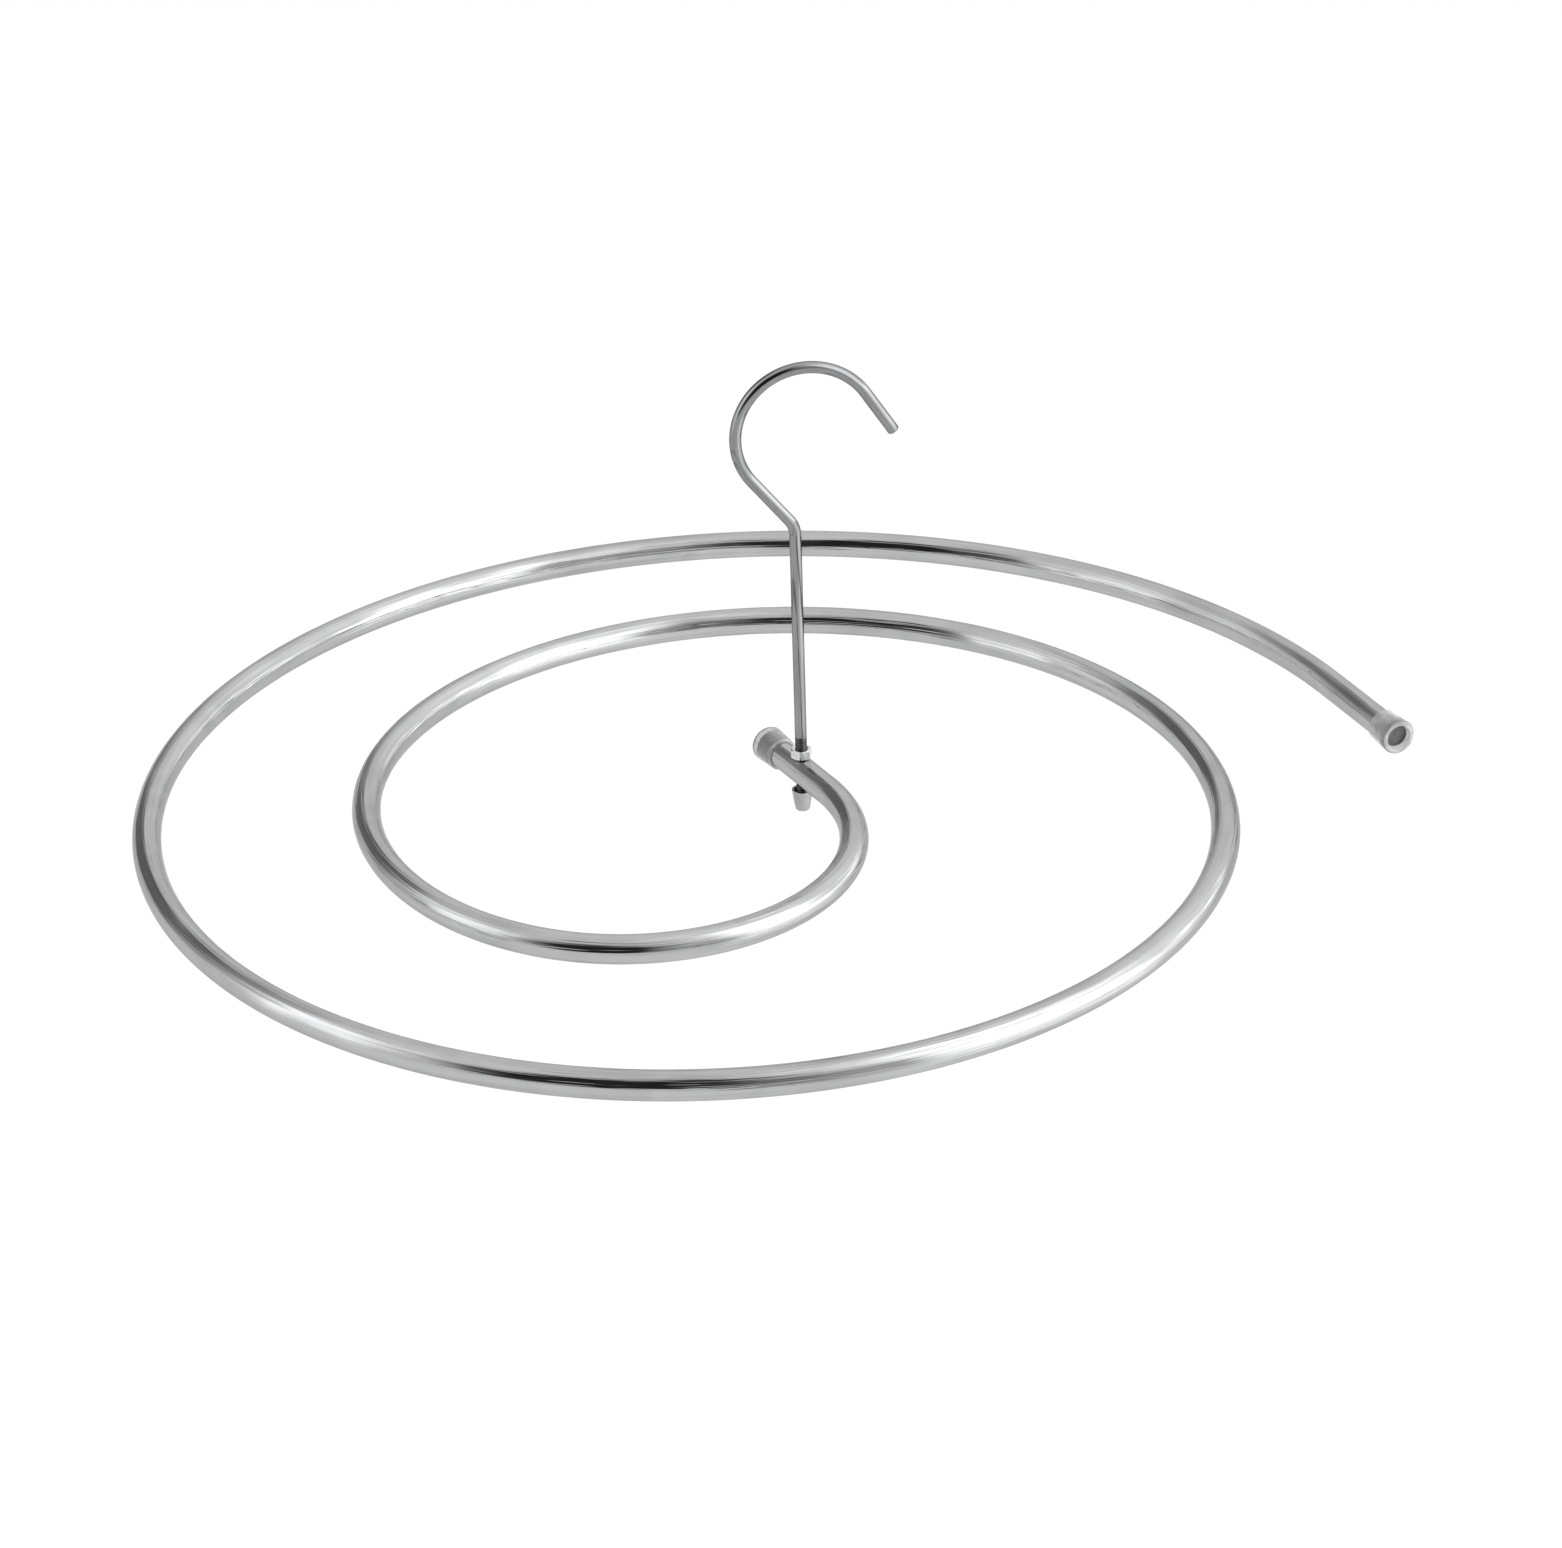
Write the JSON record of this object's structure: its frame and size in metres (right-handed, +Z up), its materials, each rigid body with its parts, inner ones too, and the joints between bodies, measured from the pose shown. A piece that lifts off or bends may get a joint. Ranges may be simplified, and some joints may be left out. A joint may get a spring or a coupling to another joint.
{
  "type": "spiral hanger",
  "caption": "Flat spiral of polished tube with push-on end caps, turning freely on the nutted shank of a wire rail hook, for drying a sheet or quilt in a small space.",
  "frame": {"origin": "Crest inside the hook's crook, where the rail bears", "axes": "+Z up along the shank; the hook lies in the XZ plane and its mouth opens towards +X; the spiral lies level in XY and winds outwards clockwise seen from above"},
  "size_m": [0.5397, 0.4928, 0.2026],
  "materials": {
    "polished_tube": "polished",
    "polished_wire": "polished",
    "nut_steel": "gloss",
    "satin_steel": "satin",
    "milky_plastic": "satin"
  },
  "bodies": {
    "hook": {"hook_rod": "polished_wire", "top_nut": "nut_steel", "bottom_cap_nut": "satin_steel"},
    "spiral": {"spiral_tube": "polished_tube", "inner_end_cap": "milky_plastic", "outer_end_cap": "milky_plastic"}
  },
  "joints": [
    {"name": "spiral_swivel", "type": "hinge", "parent": "hook", "child": "spiral", "pos_m": [-0.00574, 0, -0.17905], "axis": [0, 0, 1], "continuous": true}
  ]
}
